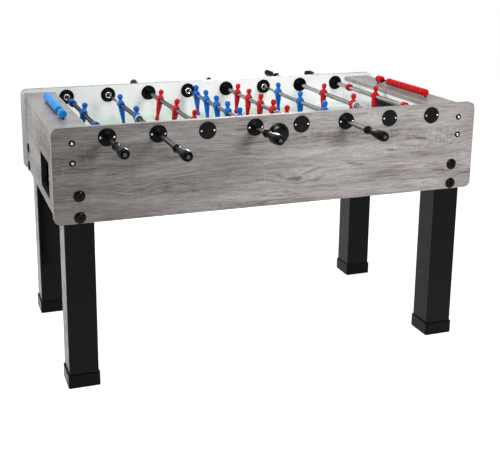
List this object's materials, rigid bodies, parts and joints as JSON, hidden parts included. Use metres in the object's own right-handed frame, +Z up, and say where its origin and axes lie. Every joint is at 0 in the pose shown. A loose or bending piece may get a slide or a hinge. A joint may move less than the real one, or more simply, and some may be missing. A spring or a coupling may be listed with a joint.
{
  "type": "foosball table",
  "caption": "Free-standing foosball table with telescopic rods, moulded men, goals, ball returns, abacus scorers and bolted square legs.",
  "frame": {"origin": "on the floor under the middle of the table", "axes": "+X along the length towards the red goal, +Y from the front side to the far side, +Z up"},
  "size_m": [1.5, 1.462, 0.8975],
  "materials": {
    "grey_oak": "grey oak laminate, satin",
    "grey_oak_rail": "pale grey oak laminate, satin",
    "white_laminate": "white laminate",
    "board": "raw board",
    "field_glass": "sanded pale green glass",
    "ramp_plastic": "moulded plastic",
    "black_plastic": "moulded, satin",
    "handle_plastic": "moulded, soft gloss",
    "badge_plastic": "bare domed disc",
    "leg_black": "black powder coat",
    "foot_plastic": "moulded",
    "black_bolt": "blackened",
    "screw_steel": "bright",
    "rod_steel": "ground",
    "chrome_tube": "polished",
    "blue_plastic": "gloss",
    "red_plastic": "gloss",
    "rubber": "light grey rings, matte"
  },
  "bodies": {
    "cabinet": {"side_panel_front": "grey_oak", "side_panel_rear": "grey_oak", "side_liners": "white_laminate", "end_panels": "grey_oak", "end_rails": "grey_oak_rail", "goal_walls": "white_laminate", "playfield_board": "board", "playfield_glass": "field_glass", "corner_ramps": "ramp_plastic", "ball_troughs": "black_plastic", "legs": "leg_black", "feet": "foot_plastic", "leg_bolts": "black_bolt", "panel_screws": "screw_steel", "rod_bushes": "black_plastic", "blind_caps": "black_plastic", "inner_flanges": "black_plastic", "flange_screws": "screw_steel", "badges": "badge_plastic", "score_rods": "rod_steel"},
    "blue_goalie_inner": {"blue_goalie_inner_rod": "rod_steel"},
    "blue_goalie_rod": {"blue_goalie_tube": "chrome_tube", "blue_goalie_handle": "handle_plastic", "blue_goalie_men": "blue_plastic", "blue_goalie_stops": "blue_plastic"},
    "blue_defence_inner": {"blue_defence_inner_rod": "rod_steel"},
    "blue_defence_rod": {"blue_defence_tube": "chrome_tube", "blue_defence_handle": "handle_plastic", "blue_defence_men": "blue_plastic", "blue_defence_bumpers": "rubber"},
    "red_attack_inner": {"red_attack_inner_rod": "rod_steel"},
    "red_attack_rod": {"red_attack_tube": "chrome_tube", "red_attack_handle": "handle_plastic", "red_attack_men": "red_plastic"},
    "blue_midfield_inner": {"blue_midfield_inner_rod": "rod_steel"},
    "blue_midfield_rod": {"blue_midfield_tube": "chrome_tube", "blue_midfield_handle": "handle_plastic", "blue_midfield_men": "blue_plastic"},
    "red_midfield_inner": {"red_midfield_inner_rod": "rod_steel"},
    "red_midfield_rod": {"red_midfield_tube": "chrome_tube", "red_midfield_handle": "handle_plastic", "red_midfield_men": "red_plastic"},
    "blue_attack_inner": {"blue_attack_inner_rod": "rod_steel"},
    "blue_attack_rod": {"blue_attack_tube": "chrome_tube", "blue_attack_handle": "handle_plastic", "blue_attack_men": "blue_plastic"},
    "red_defence_inner": {"red_defence_inner_rod": "rod_steel"},
    "red_defence_rod": {"red_defence_tube": "chrome_tube", "red_defence_handle": "handle_plastic", "red_defence_men": "red_plastic", "red_defence_bumpers": "rubber"},
    "red_goalie_inner": {"red_goalie_inner_rod": "rod_steel"},
    "red_goalie_rod": {"red_goalie_tube": "chrome_tube", "red_goalie_handle": "handle_plastic", "red_goalie_men": "red_plastic", "red_goalie_stops": "red_plastic"},
    "blue_score_bead": {"blue_score_bead": "blue_plastic"},
    "blue_score_pack": {"blue_score_pack": "blue_plastic"},
    "red_score_bead": {"red_score_bead": "red_plastic"},
    "red_score_pack": {"red_score_pack": "red_plastic"}
  },
  "joints": [
    {"name": "blue_goalie_spin", "type": "hinge", "parent": "cabinet", "child": "blue_goalie_inner", "pos_m": [-0.5754, 0, 0.843], "axis": [0, 1, 0], "range_deg": [-235, 12]},
    {"name": "blue_goalie_slide", "type": "slide", "parent": "blue_goalie_inner", "child": "blue_goalie_rod", "axis": [0, 1, 0], "range_m": [-0.1327, 0.1167]},
    {"name": "blue_defence_spin", "type": "hinge", "parent": "cabinet", "child": "blue_defence_inner", "pos_m": [-0.411, 0, 0.843], "axis": [0, 1, 0], "continuous": true},
    {"name": "blue_defence_slide", "type": "slide", "parent": "blue_defence_inner", "child": "blue_defence_rod", "axis": [0, 1, 0], "range_m": [-0.212, 0.188]},
    {"name": "red_attack_spin", "type": "hinge", "parent": "cabinet", "child": "red_attack_inner", "pos_m": [-0.2466, 0, 0.843], "axis": [0, 1, 0], "continuous": true},
    {"name": "red_attack_slide", "type": "slide", "parent": "red_attack_inner", "child": "red_attack_rod", "axis": [0, 1, 0], "range_m": [-0.0987, 0.1427]},
    {"name": "blue_midfield_spin", "type": "hinge", "parent": "cabinet", "child": "blue_midfield_inner", "pos_m": [-0.0822, 0, 0.843], "axis": [0, 1, 0], "continuous": true},
    {"name": "blue_midfield_slide", "type": "slide", "parent": "blue_midfield_inner", "child": "blue_midfield_rod", "axis": [0, 1, 0], "range_m": [-0.0917, 0.0857]},
    {"name": "red_midfield_spin", "type": "hinge", "parent": "cabinet", "child": "red_midfield_inner", "pos_m": [0.0822, 0, 0.843], "axis": [0, 1, 0], "continuous": true},
    {"name": "red_midfield_slide", "type": "slide", "parent": "red_midfield_inner", "child": "red_midfield_rod", "axis": [0, 1, 0], "range_m": [-0.0737, 0.1037]},
    {"name": "blue_attack_spin", "type": "hinge", "parent": "cabinet", "child": "blue_attack_inner", "pos_m": [0.2466, 0, 0.843], "axis": [0, 1, 0], "continuous": true},
    {"name": "blue_attack_slide", "type": "slide", "parent": "blue_attack_inner", "child": "blue_attack_rod", "axis": [0, 1, 0], "range_m": [-0.1137, 0.1277]},
    {"name": "red_defence_spin", "type": "hinge", "parent": "cabinet", "child": "red_defence_inner", "pos_m": [0.411, 0, 0.843], "axis": [0, 1, 0], "continuous": true},
    {"name": "red_defence_slide", "type": "slide", "parent": "red_defence_inner", "child": "red_defence_rod", "axis": [0, 1, 0], "range_m": [-0.208, 0.192]},
    {"name": "red_goalie_spin", "type": "hinge", "parent": "cabinet", "child": "red_goalie_inner", "pos_m": [0.5754, 0, 0.843], "axis": [0, 1, 0], "range_deg": [-27, 220]},
    {"name": "red_goalie_slide", "type": "slide", "parent": "red_goalie_inner", "child": "red_goalie_rod", "axis": [0, 1, 0], "range_m": [-0.1407, 0.1087]},
    {"name": "blue_score_bead_slide", "type": "slide", "parent": "cabinet", "child": "blue_score_bead", "axis": [0, 1, 0], "range_m": [0, 0.0446]},
    {"name": "blue_score_pack_slide", "type": "slide", "parent": "cabinet", "child": "blue_score_pack", "axis": [0, 1, 0], "range_m": [-0.0446, 0]},
    {"name": "red_score_bead_slide", "type": "slide", "parent": "cabinet", "child": "red_score_bead", "axis": [0, -1, 0], "range_m": [0, 0.0446]},
    {"name": "red_score_pack_slide", "type": "slide", "parent": "cabinet", "child": "red_score_pack", "axis": [0, -1, 0], "range_m": [-0.0446, 0]}
  ]
}
